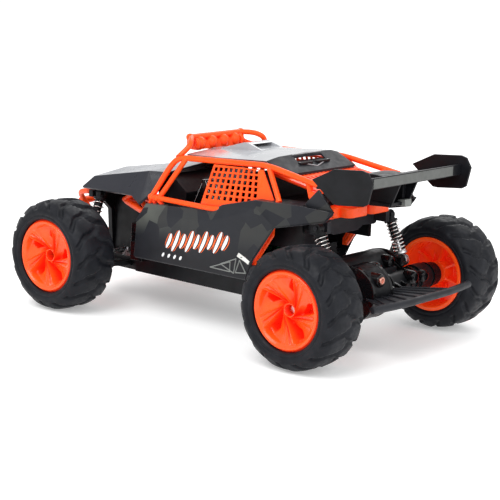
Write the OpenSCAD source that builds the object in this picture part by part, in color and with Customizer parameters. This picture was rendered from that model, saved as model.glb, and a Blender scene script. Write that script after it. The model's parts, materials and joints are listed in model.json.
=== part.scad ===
/* [Wheels] */
// Distance between the front and rear axles
wheelbase = 226; // [224:0.5:228]
// Outer diameter of the tyres
tyre_d = 82.4; // [81.4:0.2:83.4]
// Width of the tyres
tyre_w = 40; // [38:0.5:40]
// Outer diameter of the rims
rim_d = 54; // [52:0.5:54]
// Sideways distance from the middle of the car to the middle of a wheel
track_half = 84; // [84:0.5:86]
// Number of tread lugs on each shoulder of a tyre
lug_count = 16; // [12:1:20]
// Number of swirl spokes on a rim
spoke_count = 5; // [3:1:7]

/* [Front suspension] */
// Height of the lower arm hinges
arm_z = 33; // [32:0.5:34]
// Sideways position of the lower arm hinges
arm_x = 22; // [21:0.5:23]
// Sideways position of the kingpins
kingpin_x = 59; // [58.5:0.5:59.5]
// Length of the steering arms
steer_arm = 17; // [16:0.5:18]

/* [Rear suspension] */
// Distance of the rear swing pivot behind the middle of the car
swing_y = 58; // [57:0.5:59]
// Height of the rear swing pivot
swing_z = 40; // [39:0.5:41]
// Teeth of the axle gear
spur_teeth = 36; // [36:1:36]
// Teeth of the motor pinion
pinion_teeth = 12; // [12:1:12]
// Gear module of the drive
gear_module = 0.8; // [0.8:0.1:0.8]

/* [Cage] */
// Radius of the cage tubes
tube_r = 1.9; // [1.6:0.1:2.1]
// Columns of holes in a window net
net_columns = 9; // [7:1:10]
// Rows of holes in a window net
net_rows = 6; // [5:1:7]

/* [Body] */
// Thickness of the moulded body panels
skin_t = 1.6; // [1.4:0.1:1.8]
// Half of the span of the wing
wing_half = 60; // [56:1:62]

/* [Hidden] */
$fn = 40;
// Heights are drawn with the axles at 44 mm, and stand() lowers the car onto its tyres
axle_z = 44;
tyre_r = tyre_d / 2;
axle_y = wheelbase / 2;
rim_r = rim_d / 2;
rim_w = tyre_w - 4;
pin_r = 1.5;
run_gap = 0.05;
shaft_r = 2.5;

// Front shock: top and bottom pivots, as [x, y, z]
front_shock_y = -axle_y - 9.5;
front_shock_top = [35, front_shock_y, 83];
front_shock_bottom = [51, front_shock_y, 43];
front_tower_y = front_shock_y - 10;
// Rear shock
rear_shock_top = [42, 92, 88];
rear_shock_bottom = [42, 106, 57];
// Spring seats and the middle of the spring wire
seat_r = 4.9;
coil_r = 4.3;
// Steering
rack_y = -axle_y + steer_arm;
rack_z = 44;
horn_z = rack_z + 2.1;
horn_y = rack_y + steer_arm;
// Screws in the underside, as [x, y, z of the head, length]
screws = [
    [0, 36, 29, 8.5], [12, -124, 25.4, 15], [-12, -124, 25.4, 15],
    [12, -107, 25.4, 15], [-12, -107, 25.4, 15]
];
// Drive
spur_x = 18;
spur_r = spur_teeth * gear_module / 2;
pinion_r = pinion_teeth * gear_module / 2;
pinion_angle = 25;
gear_centres = spur_r + pinion_r + 0.1;
motor_y = axle_y - gear_centres * cos(pinion_angle);
motor_z = axle_z + gear_centres * sin(pinion_angle);
// The cage sides lean inwards
lean = 18.4;
lean_x = 57;
lean_z = 90;

orange = [1.0, 0.35, 0.05];
black = [0.07, 0.07, 0.08];
dark_grey = [0.2, 0.2, 0.22];
steel = [0.75, 0.75, 0.78];

// ---- helpers -------------------------------------------------------------

// A copy of the children on the left or, mirrored, on the right
module on_side(side) {
    mirror([side < 0 ? 1 : 0, 0, 0]) children();
}

// Lowers the children from the height they are drawn at, so that the tyres stand on z = 0
module stand() {
    translate([0, 0, tyre_r - axle_z]) children();
}

// A copy on both sides
module both() {
    children();
    mirror([1, 0, 0]) children();
}

// A box from its two opposite corners
module block(a, b) {
    translate(a) cube(b - a);
}

// Turns a shape that stands on +Z so that it runs from a towards b
module along(a, b) {
    d = b - a;
    translate(a)
        rotate([0, acos(d[2] / norm(d)), atan2(d[1], d[0])])
            children();
}

// A straight rod from a to b, longer by grow at both ends
module rod(a, b, r, grow = 0, sides = 8) {
    along(a, b)
        translate([0, 0, -grow])
            cylinder(h = norm(b - a) + 2 * grow, r = r, $fn = sides);
}

// Rods through a list of points
module tube_path(points, r, sides = 8) {
    for (i = [0 : len(points) - 2])
        rod(points[i], points[i + 1], r, r * 0.7, sides);
}

// An outline in Y and Z, made t thick from x = 0 towards +X
module plate_yz(t) {
    rotate([90, 0, 90]) linear_extrude(t) children();
}

// An outline in X and Z, made t thick from y = 0 towards +Y
module plate_xz(t) {
    translate([0, t, 0]) rotate([90, 0, 0]) linear_extrude(t) children();
}

// A round bar along X, Y or Z from a start point
module bar_x(a, length, r) {
    translate(a) rotate([0, 90, 0]) cylinder(h = length, r = r);
}
module bar_y(a, length, r) {
    translate(a) rotate([-90, 0, 0]) cylinder(h = length, r = r);
}
module bar_z(a, length, r) {
    translate(a) cylinder(h = length, r = r);
}

// A round-headed screw that points up from a
module screw(a, length) {
    bar_z(a, 1.4, 2.6);
    bar_z(a, length, 1.3);
}

// How often the edge from p to q occurs in a list of faces
function edge_uses(faces, p, q) = len([
    for (f = faces, i = [0 : len(f) - 1])
        if (f[i] == p && f[(i + 1) % len(f)] == q) 1
]);

function reversed(f) = [for (i = [len(f) - 1 : -1 : 0]) f[i]];

// A moulded skin: an outer surface, and the same surface moved inwards by t. The faces run
// anticlockwise when seen from outside.
module skin(points, faces, t = skin_t) {
    n = len(points);
    inner = [for (p = points) [p[0] - t * sign(p[0]), p[1], p[2] - t]];
    edges = [
        for (f = faces, i = [0 : len(f) - 1])
            if (edge_uses(faces, f[(i + 1) % len(f)], f[i]) == 0)
                [f[(i + 1) % len(f)], f[i], f[i] + n, f[(i + 1) % len(f)] + n]
    ];
    inside = [for (f = faces) [for (k = reversed(f)) k + n]];
    polyhedron(
        points = concat(points, inner),
        faces = [
            for (f = concat(faces, inside, edges), i = [1 : len(f) - 2])
                [f[0], f[i + 1], f[i]]
        ]
    );
}

// Places the children in the leaning plane of a cage side: X points outwards
module leaning() {
    translate([lean_x, 0, lean_z]) rotate([0, -lean, 0]) children();
}

// ---- wheels ----------------------------------------------------------------

// Profile of half of a tyre, as [radius, distance from the middle plane]
function tyre_outline(w, r) = [
    [rim_r, w - 2], [rim_r + 1.5, w - 1.2], [rim_r + 5, w - 0.6], [rim_r + 8, w - 1.2],
    [r - 3.4, w - 3.2], [r - 1.3, w - 6.2], [r - 0.3, w - 10.5], [r, w - 16]
];

// A hollow tyre about the Z axis
module tyre() {
    w = tyre_w / 2;
    outside = tyre_outline(w, tyre_r);
    inside = [
        [tyre_r - 3.2, w - 14], [tyre_r - 4.8, w - 8], [tyre_r - 7, w - 5],
        [rim_r + 5, w - 3.6], [rim_r, w - 5.5]
    ];
    whole = concat(
        outside,
        [for (p = reversed(outside)) [p[0], -p[1]]],
        [for (p = reversed(inside)) [p[0], -p[1]]],
        inside
    );
    difference() {
        rotate_extrude($fn = 96) polygon(whole);
        for (i = [0 : lug_count - 1], s = [-1, 1])
            rotate(i * 360 / lug_count + (s > 0 ? 180 / lug_count : 0))
                translate([tyre_r - 1.8, -2.4, s > 0 ? w - 12 : -w])
                    cube([8, 4.8, 12]);
    }
}

// One curved swirl spoke, as an outline from the hub to the barrel
function swirl(r, lead) = [r * cos(lead * (r / rim_r)), r * sin(lead * (r / rim_r))];

module spoke_outline() {
    steps = 6;
    first = 8.2;
    last = rim_r - 1.9;
    radii = [for (i = [0 : steps]) first + (last - first) * i / steps];
    polygon(concat(
        [for (r = radii) swirl(r, 62)],
        [for (r = reversed(radii)) swirl(r, 22)]
    ));
}

// A rim about the Z axis with its open face towards +Z
module rim() {
    w = rim_w / 2;
    difference() {
        union() {
            rotate_extrude($fn = 72) polygon([
                [rim_r, w], [rim_r, w - 1.6], [rim_r - 0.6, w - 3], [rim_r - 0.6, -w + 3],
                [rim_r, -w + 1.6], [rim_r, -w], [rim_r - 1.8, -w], [rim_r - 2.6, -w + 4],
                [rim_r - 3, w - 14], [8, w - 15], [8, w - 12.5], [rim_r - 3.4, w - 11],
                [rim_r - 2.6, w - 4], [rim_r - 3.2, w]
            ]);
            translate([0, 0, -8]) cylinder(h = w + 1, r = 8.4);
            for (i = [0 : spoke_count - 1])
                rotate(i * 360 / spoke_count)
                    translate([0, 0, w - 13]) linear_extrude(8.5) spoke_outline();
            for (i = [0 : 5])
                rotate(i * 60)
                    translate([7, -0.8, -6]) cube([rim_r - 9, 1.6, w - 7]);
        }
        translate([0, 0, -9]) cylinder(h = 40, r = shaft_r);
        translate([0, 0, 6]) cylinder(h = 20, r = 4.2);
    }
}

// Puts a wheel part on its axle; side is 1 on the left and -1 on the right
module at_wheel(side, y) {
    translate([side * track_half, y, axle_z])
        rotate([0, side * 90, 0]) children();
}

// ---- chassis ---------------------------------------------------------------

module chassis_tub() {
    color(black) difference() {
        union() {
            // Floor and side walls
            difference() {
                block([-38, -82, 29], [38, 50, 62]);
                block([-36, -80, 31], [36, 48, 63]);
                // Window for the steering
                block([-18, -83, 36], [18, -79, 58]);
            }
            // Nose that carries the front arms, on its skid plate
            block([-17, -136, 29], [17, -81, 33.5]);
            translate([0, 0, 26]) linear_extrude(3.1) polygon([
                [-26, -82.3], [26, -82.3], [26, -127], [14, -143], [-14, -143], [-26, -127]
            ]);
            // Lugs of the arm hinges
            both() for (y = [-axle_y - 19, -axle_y + 16])
                block([16, y, 29], [arm_x + 3.4, y + 3, arm_z + 3.4]);
            // Ears of the rear swing pivot
            both() block([29, 49, 32], [33, swing_y + 5, 48]);
            // Boss of the belly door screw
            block([-6, 32, 30.9], [6, 40, 38]);
            // Seat of the servo and cage of the power switch
            block([-16, -74, 30.5], [16, -54, 31.5]);
            for (y = [39.8, 47]) block([-36.5, y, 30.5], [-26, y + 1.2, 35]);
            block([-36.5, 39.8, 33.4], [-26, 48.2, 35]);
            // Sills that carry the side panels
            both() block([37.5, -58, 50], [57.5, 40, 53]);
        }
        // Battery bay, and the recess of its door
        block([-24, -42, 28], [24, 32, 33]);
        block([-24, 31, 28], [24, 40, 30.9]);
        // Switch slot
        block([-33, 42.8, 28], [-27, 45.2, 32]);
        for (p = screws) screw([p[0], p[1], p[2]], p[3]);
        // Hinge pin bores
        both() bar_y([arm_x, -axle_y - 21, arm_z], 42, pin_r);
        bar_x([-34, swing_y, swing_z], 68, pin_r);
    }
}

module belly_door() {
    color(dark_grey) difference() {
        block([-23.7, -41.7, 29], [23.7, 39.7, 30.8]);
        // Grip grooves
        for (x = [-15, 0, 15]) block([x - 1, -36, 28.2], [x + 1, 28, 29.6]);
        for (p = screws) screw([p[0], p[1], p[2]], p[3]);
    }
}

module battery_pack() {
    cell_r = 7.25;
    color([0.15, 0.35, 0.75]) for (i = [-1, 0, 1])
        bar_y([i * (2 * cell_r + 0.3), -30, 31.2 + cell_r], 50, cell_r);
}

module circuit_board() {
    color([0.05, 0.35, 0.15]) block([-28, -40, 52], [28, 20, 53.6]);
    color(black) {
        block([-12, -30, 53.4], [-2, -20, 55.4]);
        block([6, -26, 53.4], [16, -10, 56]);
        for (x = [-18, -6, 6, 18]) block([x - 3, 4, 53.4], [x + 3, 12, 58]);
    }
    color(steel) for (x = [-25.5, 25.5], y = [-36, 16])
        bar_z([x, y, 31], 21.2, 1.8);
}

module switch_slider() {
    color(black) {
        block([-32.8, 43, 29.2], [-30.2, 45, 31.2]);
        block([-35.5, 41.5, 31.1], [-28, 46.5, 33]);
    }
}

module steering_servo() {
    post_z = horn_z + 3.7;
    color(dark_grey) {
        block([-12, -72.8, 31.5], [12, -54, 57]);
        block([-16, -72.8, 44], [16, -69.5, 47]);
        difference() {
            block([-7, horn_y - 5, post_z], [7, -72.7, post_z + 6]);
            bar_z([0, horn_y, 40], 20, 2.5);
        }
    }
}

module servo_horn() {
    color(orange) {
        bar_z([0, horn_y, horn_z], 3.2, 4.6);
        block([-2.4, rack_y, horn_z], [2.4, horn_y, horn_z + 3.2]);
        bar_z([0, rack_y, horn_z], 3.2, 3);
        bar_z([0, rack_y, horn_z - 4.2], 5, 1.2);
        bar_z([0, horn_y, horn_z + 3], 5.5, 2.45);
    }
}

// The rack slides sideways and carries a pin at each end
module steering_rack() {
    color(dark_grey) {
        difference() {
            block([-arm_x - 1, rack_y - 4, rack_z - 1.5], [arm_x + 1, rack_y + 4, rack_z + 1.5]);
            block([-1.5, rack_y - 2.8, rack_z - 3], [1.5, rack_y + 2.8, rack_z + 3]);
        }
        both() bar_z([arm_x - 2, rack_y, rack_z - 6], 5, 1.2);
    }
}

module hinge_pins() {
    color(steel) {
        both() bar_y([arm_x, -axle_y - 19, arm_z], 38, pin_r);
        bar_x([-33, swing_y, swing_z], 66, pin_r);
    }
}

module front_tower() {
    y0 = front_tower_y;
    color(black) difference() {
        union() {
            translate([0, y0, 0]) plate_xz(4) polygon([
                [-15.5, 33.5], [15.5, 33.5], [18, 68], [30, 79], [38.8, 79.5], [38.8, 84.7],
                [22, 84.7], [20, 87.5], [-20, 87.5], [-22, 84.7], [-38.8, 84.7],
                [-38.8, 79.5], [-30, 79], [-18, 68]
            ]);
            // Box behind the plate
            both() block([11, y0 + 3, 33.5], [14, -102, 78]);
            block([-14, y0 + 3, 75], [14, -102, 78]);
            block([-14, -105, 33.5], [14, -102, 78]);
            block([-14, y0 + 3, 33.5], [14, -102, 42]);
            both() bar_y([front_shock_top[0], y0 + 3.8, front_shock_top[2]], 11.5, pin_r);
        }
        for (p = screws) screw([p[0], p[1], p[2]], p[3]);
    }
}

// Orange frame under the hood with the bumper hoop
module front_frame() {
    hoop_y = -155.05;
    r = 2.2;
    color(orange) {
        tube_path([[-24, hoop_y, 72], [24, hoop_y, 72]], 3);
        tube_path([[-34, -130, 89.8], [34, -130, 89.8]], 2);
        both() {
            tube_path([[22, hoop_y, 72], [30, -152, 80], [33, -138, 82.5], [33, -130, 89.8]], 2);
            tube_path([[33, -130, 89.8], [35, -100, 90], [46, -62, 87], [49, -56, 86]], 2);
            tube_path([[35, -100, 90], [20, -92, 78], [16, -86, 62]], 2);
            tube_path([[22, hoop_y, 72], [14, -139, 48]], r);
        }
        block([-16, -142, 33.4], [16, -136.2, 50]);
        block([-13, -142, 29.1], [13, -136.2, 33.5]);
    }
}

module rear_tower() {
    ear_x = rear_shock_top[0] - 5.4;
    z1 = rear_shock_top[2];
    color(dark_grey) union() {
        translate([0, 80, 0]) plate_xz(5) polygon([
            [-ear_x, z1 + 3.9], [ear_x, z1 + 3.9], [ear_x, z1 - 6], [34, z1 - 7],
            [20, 82], [14, 79], [-14, 79], [-20, 82], [-34, z1 - 7], [-ear_x, z1 - 6]
        ]);
        block([-14, 50, 79], [14, 81, 82]);
        block([-14, 50.1, 50], [14, 53, 82]);
        both() {
            block([ear_x - 4, 84.5, z1 - 4], [ear_x, 96, z1 + 3.9]);
            bar_x([ear_x - 0.2, rear_shock_top[1], z1], 9, pin_r);
        }
    }
}

// ---- body ------------------------------------------------------------------

// Half of the hood: tip, crest and the drop behind the front wheel
hood_points = [
    [0, -141, 91], [40, -139, 86.5], [36, -130, 95.5], [0, -131, 99.5],
    [0, -66, 111], [40, -68, 107.5], [46, -44, 110], [0, -42, 115],
    [50, -77, 89.5], [53, -66, 84.5], [55, -56, 91], [54, -50, 97]
];
hood_faces = [
    [3, 0, 1, 2], [4, 3, 2, 5], [7, 4, 5, 6], [2, 1, 8], [5, 2, 8], [5, 8, 9],
    [5, 9, 10], [5, 10, 11], [5, 11, 6]
];

module hood() {
    color(dark_grey) both() skin(hood_points, hood_faces);
}

// Outer surface of the left side panel: bottom edge, belt line, fender ridge and tail
side_points = [
    [60, -62.5, 47], [60, -60.5, 75], [57.5, -54, 86.5], [61, -48, 79],
    [57.5, 10, 90.5], [61, 8, 82], [58, 20, 96], [59, 51, 103.5],
    [62, 54, 98], [60, 67.5, 88], [60, 50, 63], [59, 43, 47.5],
    [61, 34, 62], [61, -40, 55], [50, 109.5, 102], [52, 104, 96],
    [55, 86, 104], [46, -54, 89], [46, 12, 92.5], [46, 24, 97],
    [46, 52, 104.5], [43, 86, 105]
];
side_faces = [
    [0, 3, 1], [1, 3, 2], [0, 13, 3], [2, 3, 5, 4], [3, 13, 5], [13, 12, 5], [0, 11, 12, 13],
    [11, 10, 12], [12, 10, 5], [4, 5, 6], [5, 8, 6], [6, 8, 7], [5, 10, 9], [5, 9, 8],
    [7, 8, 9], [7, 9, 16], [9, 15, 16], [15, 14, 16],
    [2, 4, 18, 17], [4, 6, 19, 18], [6, 7, 20, 19], [7, 16, 21, 20]
];

module side_panel(side) {
    color(black) difference() {
        on_side(side) union() {
            skin(side_points, side_faces);
            // Fin standing on the tail
            translate([47.2, 0, 0]) plate_yz(1.6)
                polygon([[84, 103.4], [96, 115.5], [109.3, 101.3]]);
        }
        // Slots for the cage legs and the net
        cage_side(side);
        net(side);
    }
}

module cockpit() {
    color(black) union() {
        // Floor, dashboard, seats and bulkhead
        block([-45, -54, 70], [45, 46, 72]);
        translate([-40, 0, 0]) plate_yz(80)
            polygon([[-58, 71], [-58, 100], [-46, 108], [-30, 96], [-34, 71]]);
        both() {
            translate([4, 0, 0]) plate_yz(30)
                polygon([[2, 71], [6, 79], [24, 77], [32, 104], [38, 104], [34, 71]]);
            block([43.5, -54, 71], [45.5, 46, 86]);
        }
        translate([-42, 0, 0]) plate_yz(84)
            polygon([[42, 71], [40, 117], [43, 119], [47, 71]]);
        // Posts down to the chassis walls
        both() for (y = [-50, 34]) block([36.2, y, 62], [38, y + 8, 71]);
    }
}

module rear_deck() {
    color(black) difference() {
        union() {
            translate([-41, 0, 0]) plate_yz(82)
                polygon([[47.3, 92], [47.3, 101], [80, 104], [88, 104], [88, 92]]);
            both() block([38, 50, 70], [41, 78, 92.5]);
        }
        // Hollow underneath
        block([-38.5, 49, 91], [38.5, 78, 99.5]);
    }
}

module rear_cover() {
    color(orange) union() {
        for (s = [-1, 1]) difference() {
            block([s > 0 ? 1 : -25, 88.2, 94], [s > 0 ? 25 : -1, 105, 104]);
            bar_x([s > 0 ? 4 : -22, 98, 107], 18, 5);
        }
        block([-1.2, 88.2, 94], [1.2, 101, 101]);
        block([-30, 88.1, 92.1], [30, 92, 94.2]);
        both() block([24.8, 88.2, 94], [31, 97, 101]);
    }
}

// ---- cage ------------------------------------------------------------------

module cage_side(side) {
    a = [55.5, -50, 92];
    roof_front = [48.5, -31, 122.5];
    roof_rear = [43, 48, 125.5];
    sill_rear = [57.5, 10, 91.8];
    tail = [46, 96, 117.5];
    color(orange) on_side(side) union() {
        tube_path([a, [50.5, -37.5, 115], roof_front, roof_rear, tail], tube_r + 0.2);
        tube_path([[55.2, -43, 91.9], [48.6, -24, 121.8]], tube_r);
        tube_path([a, sill_rear, [56, 22, 93]], tube_r);
        tube_path([roof_rear, [53.5, 67, 104]], tube_r);
        tube_path([a, [52.5, -55, 82]], tube_r * 0.9);
        tube_path([a, [52, -46, 82]], tube_r * 0.8);
        tube_path([[55.6, -46, 92], [52, -35, 82]], tube_r * 0.8);
        // Boss at the foot of the rear tube
        tube_path([[44, 84, 119], [45, 88, 109]], tube_r * 1.2);
        bar_x([42, 90, 110.5], 6, 3.2);
        // Rear leg inside the side panel, with the lining of the wheel arch
        tube_path([[53.5, 66, 104], [54, 62, 84], [54, 47, 60]], tube_r);
        translate([53, 0, 0]) plate_yz(2)
            polygon([[44, 62], [44, 57], [48, 57], [63.5, 80], [64, 88], [60, 88]]);
    }
}

module cage_rear() {
    t = 2;
    rows = 4;
    mesh_y = 50;
    mesh_z = 118.8;
    depth = 40.5;
    fall = atan2(mesh_z - 111.8, 90 - mesh_y);
    color(orange) difference() {
        union() {
            tube_path([[-42, 49, 122.1], [42, 49, 122.1]], tube_r);
            // Back mesh between the rear tubes
            translate([0, mesh_y, mesh_z]) rotate([-fall, 0, 0]) difference() {
                linear_extrude(t) polygon([[-41, 0], [41, 0], [43, depth], [-43, depth]]);
                translate([0, 0, -1]) linear_extrude(t + 2)
                    for (i = [-8 : 8], j = [0 : rows - 1])
                        translate([i * 4.6 - 1.4, 8 + j * 8]) square([2.8, 4.4]);
            }
            tube_path([[-43.5, 90, 112.6], [43.5, 90, 112.6]], tube_r);
        }
        cage_side(1);
        cage_side(-1);
    }
}

module net(side) {
    slope = 1 / cos(lean);
    low = 3.2;
    high = (121.5 - lean_z) * slope;
    outline = [[-2, low], [1.5, high], [46.5, high + 1.5], [62, 14 * slope], [24, 5], [8, low]];
    color(orange) difference() {
        on_side(side) leaning() translate([-1, 0, 0]) plate_yz(2) difference() {
            polygon(outline);
            for (i = [0 : net_columns - 1], j = [0 : net_rows - 1])
                translate([
                    3.2 + i * (41 + (net_rows - 1 - j) * 1.5) / net_columns - (5 - j) * 0.4,
                    8.2 + j * 24.5 / net_rows + i * 0.3
                ])
                    square([2.6, 2.3]);
        }
        cage_side(side);
    }
}

module roof_panel() {
    color([0.75, 0.76, 0.8]) skin(
        [
            [0, -33, 126.5], [40, -31, 124.3], [43.5, 4, 126], [41, 44, 128.2],
            [30, 46, 130.5], [0, 46, 131.2], [-30, 46, 130.5], [-41, 44, 128.2],
            [-43.5, 4, 126], [-40, -31, 124.3], [0, 2, 130]
        ],
        [
            [0, 1, 10], [1, 2, 10], [2, 3, 4], [2, 4, 10], [4, 5, 10], [5, 6, 10],
            [6, 8, 10], [6, 7, 8], [8, 9, 10], [9, 0, 10]
        ],
        skin_t * 0.8
    );
    // Air scoop
    color([0.75, 0.76, 0.8]) difference() {
        translate([-13, 0, 0]) plate_yz(26)
            polygon([[-22, 127.4], [0, 134], [4, 134], [16, 130.2], [16, 129.2], [-22, 125.9]]);
        translate([-11, 0, 0]) plate_yz(22)
            polygon([[-6, 130.6], [5, 133.2], [20, 133.2], [20, 130.6]]);
    }
}

module roof_fairing() {
    color(dark_grey) difference() {
        skin(
            [
                [-41, 44.3, 128.2], [-30, 46.3, 130.5], [0, 46.3, 131.2], [30, 46.3, 130.5],
                [41, 44.3, 128.2], [38, 63, 121], [0, 61, 120.5], [-38, 63, 121]
            ],
            [[0, 7, 1], [1, 7, 6], [1, 6, 2], [2, 6, 3], [3, 6, 5], [3, 5, 4]]
        );
        block([-16, 48, 125.5], [16, 54, 135]);
    }
}

module light_bar() {
    color(orange) difference() {
        union() {
            tube_path([[-28, -38.5, 135.6], [28, -38.5, 135.6]], 2.2);
            for (x = [-19.5, -6.5, 6.5, 19.5]) difference() {
                bar_y([x, -44, 130], 11, 5.6);
                bar_y([x, -45, 130], 4, 4.6);
            }
            block([-26, -37, 126.5], [26, -34, 133]);
            both() {
                tube_path([[27, -38.5, 135.6], [36, -30.5, 135], [42, -26, 131]], 2);
                tube_path([[42, -26, 131], [48, -30, 124]], 2);
                tube_path([[29, -38.5, 135.6], [29.5, -38, 128], [47.5, -32.5, 122.4]], 1.8);
            }
        }
        cage_side(1);
        cage_side(-1);
    }
}

module lamp_lenses() {
    color([0.9, 0.95, 1, 0.5]) for (x = [-19.5, -6.5, 6.5, 19.5])
        bar_y([x, -43.5, 130], 2.5, 4.6);
}

module body_screws() {
    color(steel) for (p = screws) screw([p[0], p[1], p[2]], p[3]);
}

// ---- wing ------------------------------------------------------------------

module wing_blade() {
    color(dark_grey) union() {
        translate([2 - wing_half, 0, 0]) plate_yz(2 * wing_half - 4) polygon([
            [101, 117.6], [120, 121], [137.5, 126], [138, 121], [139.6, 121],
            [139.6, 128.6], [137.8, 128.6], [119, 123.2], [101, 119.6]
        ]);
        // Raised middle over the pylon
        translate([-13, 0, 0]) plate_yz(26)
            polygon([[103, 118.6], [106, 124.4], [114, 125.2], [126, 124.5], [120, 121.5]]);
    }
}

module wing_plate(side) {
    color(black) on_side(side) translate([wing_half - 2, 0, 0]) plate_yz(2)
        polygon([
            [98.5, 124], [116.5, 133], [139, 134.8], [143.5, 133.5], [147.5, 127],
            [144.5, 113.5], [141, 111.5], [121, 109.6], [117, 109.8]
        ]);
}

module wing_pylon() {
    color(black) union() {
        both() translate([6, 0, 0]) plate_yz(3)
            polygon([[112, 106], [112, 119.5], [120, 120.9], [127, 122.9], [127, 106]]);
        block([-9, 114, 106], [9, 117, 119.8]);
        block([-12, 81, 104], [12, 128.5, 106.4]);
    }
}

// ---- front suspension ----------------------------------------------------------

module front_arm(side) {
    y = -axle_y;
    k = kingpin_x;
    color(black) on_side(side) difference() {
        union() {
            // Hinge barrel and the two legs of the arm
            bar_y([arm_x, y - 15.6, arm_z], 31.2, 3.4);
            translate([0, 0, 29.8]) linear_extrude(3.4) polygon([
                [arm_x + 2, y - 15], [arm_x + 12, y - 15], [k + 2, y - 5], [k + 2, y + 5],
                [arm_x + 12, y + 15], [arm_x + 2, y + 15]
            ]);
            bar_z([k, y, 29.8], 3.4, 5);
            // C hub: upright and upper ear
            block([k - 10, y - 4, 31], [k - 6, y + 4, 58]);
            block([k - 10, y - 4, 54.4], [k, y + 4, 58]);
            bar_z([k, y, 54.4], 3.6, 4.5);
            // Shock mount
            block([48, y - 6.9, 32], [54, y - 3.9, 45.4]);
            bar_y([front_shock_bottom[0], y - 11.7, front_shock_bottom[2]], 6, pin_r);
        }
        bar_y([arm_x, y - 20, arm_z], 40, pin_r + run_gap);
        // Window between the legs
        translate([0, 0, 29]) linear_extrude(6) polygon([
            [arm_x + 8, y - 9], [arm_x + 13, y - 9], [k - 13, y - 4], [k - 13, y + 4],
            [arm_x + 13, y + 9], [arm_x + 8, y + 9]
        ]);
        bar_z([k, y, 28], 32, pin_r);
    }
}

module knuckle(side) {
    y = -axle_y;
    k = kingpin_x;
    arm_bottom = rack_z - 5;
    color(black) on_side(side) union() {
        bar_z([k, y, 33.7], 20.2, 4.4);
        // Kingpin, fixed in the knuckle
        bar_z([k, y, 30.2], 27.4, pin_r - run_gap);
        bar_x([k, y, axle_z], 9, 5);
        // Steering arm with its upright pin
        block([k - 2, y, arm_bottom], [k + 2, rack_y, arm_bottom + 3]);
        bar_z([k, rack_y, arm_bottom], 3, 2.6);
        bar_z([k, rack_y, arm_bottom], 7.6, 1.2);
    }
    color(steel) on_side(side) bar_x([k + 8.8, y, axle_z], 23, shaft_r - run_gap);
}

module tie_rod(side) {
    k = kingpin_x;
    y = rack_y;
    z = rack_z;
    color(steel) on_side(side) difference() {
        union() {
            block([arm_x + 10, y - 1.2, z - 1.3], [k - 2, y + 1.2, z + 1.1]);
            bar_z([k, y, z - 1.3], 2.4, 4);
            // Cranked inner end that hangs under the rack
            block([arm_x + 10, y - 2, z - 6], [arm_x + 12, y + 2, z + 1.1]);
            block([arm_x - 7, y - 4, z - 6], [arm_x + 12, y + 4, z - 4]);
        }
        // Slotted eyes leave room for the arc of the steering arm
        block([k - 1.6, y - 2.6, z - 4], [k + 1.6, y + 2.6, z + 4]);
        block([arm_x - 4.6, y - 2.2, z - 9], [arm_x + 0.6, y + 2.2, z - 2]);
    }
}

// ---- shocks ----------------------------------------------------------------

// Pin or bore centred on a point: along Y in front, along X at the back
module eye_bar(p, width, r, front) {
    if (front) bar_y([p[0], p[1] - width / 2, p[2]], width, r);
    else bar_x([p[0] - width / 2, p[1], p[2]], width, r);
}

// Cylinder of a shock that hangs from its top eye
module shock_body(top, bottom, side, front = true) {
    length = norm(bottom - top);
    color(black) on_side(side) difference() {
        union() {
            along(top, bottom) {
                translate([0, 0, 2]) cylinder(h = length * 0.5, r = 3.4);
                translate([0, 0, 4]) cylinder(h = 1.6, r = seat_r);
            }
            eye_bar(top, 4.8, 3.6, front);
        }
        eye_bar(top, 10, pin_r + run_gap, front);
        along(top, bottom) translate([0, 0, length * 0.15]) cylinder(h = length, r = 1.55);
    }
}

module shock_rod(top, bottom, side, front = true) {
    length = norm(bottom - top);
    eye = 2.3;
    color(steel) on_side(side) difference() {
        union() {
            along(top, bottom) {
                translate([0, 0, length * 0.4]) cylinder(h = length * 0.6 - 3.1, r = 1.5);
                translate([0, 0, length - 5.7]) cylinder(h = 1.6, r = seat_r);
            }
            eye_bar(bottom, 4, 4.4, front);
        }
        eye_bar(bottom, 10, eye, front);
    }
}

// The spring is one coil after another of thin rings, joined by a thin rib on each side
module spring(top, bottom, side) {
    length = norm(bottom - top);
    first = 5.7;
    last = length - 6.1;
    turns = 9;
    color(steel) on_side(side) along(top, bottom) {
        for (i = [0 : turns - 1])
            translate([0, 0, first + 0.6 + (last - first - 1.2) * i / (turns - 1)])
                rotate_extrude($fn = 24) translate([coil_r, 0]) square([1, 1], center = true);
        for (s = [-1, 1]) block([-0.4, s * coil_r - 0.4, first], [0.4, s * coil_r + 0.4, last]);
    }
}

// ---- rear axle -------------------------------------------------------------

module axle_housing() {
    y = axle_y;
    z = axle_z;
    color(black) difference() {
        union() {
            bar_x([-70, y, z], 140, 8.5);
            both() bar_x([44, y, z], 12, 10);
            // Gear case and motor case
            bar_x([8, y, z], 21, 19);
            bar_x([-26, motor_y, motor_z], 54, 13.5);
            block([-24, 96, 36], [8.5, y, 56]);
            // Swing arms to the front pivot
            both() {
                translate([34, 0, 0]) plate_yz(4) polygon([
                    [swing_y - 4, swing_z - 4], [swing_y - 4, swing_z + 4],
                    [y, z + 6], [y, z - 6]
                ]);
                bar_x([33.4, swing_y, swing_z], 5, 4.5);
                // Lower shock mounts
                block([34, 102, 46], [37, 110, 60]);
                bar_x([36.8, rear_shock_bottom[1], rear_shock_bottom[2]], 8.4, pin_r);
            }
        }
        // Hollow for the gears
        bar_x([10.5, y, z], 15.5, 16.5);
        bar_x([10.5, motor_y, motor_z], 15.5, 7);
        // Hollow for the motor
        bar_x([-24, motor_y, motor_z], 34.6, 11.6);
        bar_x([-72, y, z], 144, shaft_r + run_gap);
        bar_x([-40, swing_y, swing_z], 80, pin_r + run_gap);
    }
}

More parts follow.
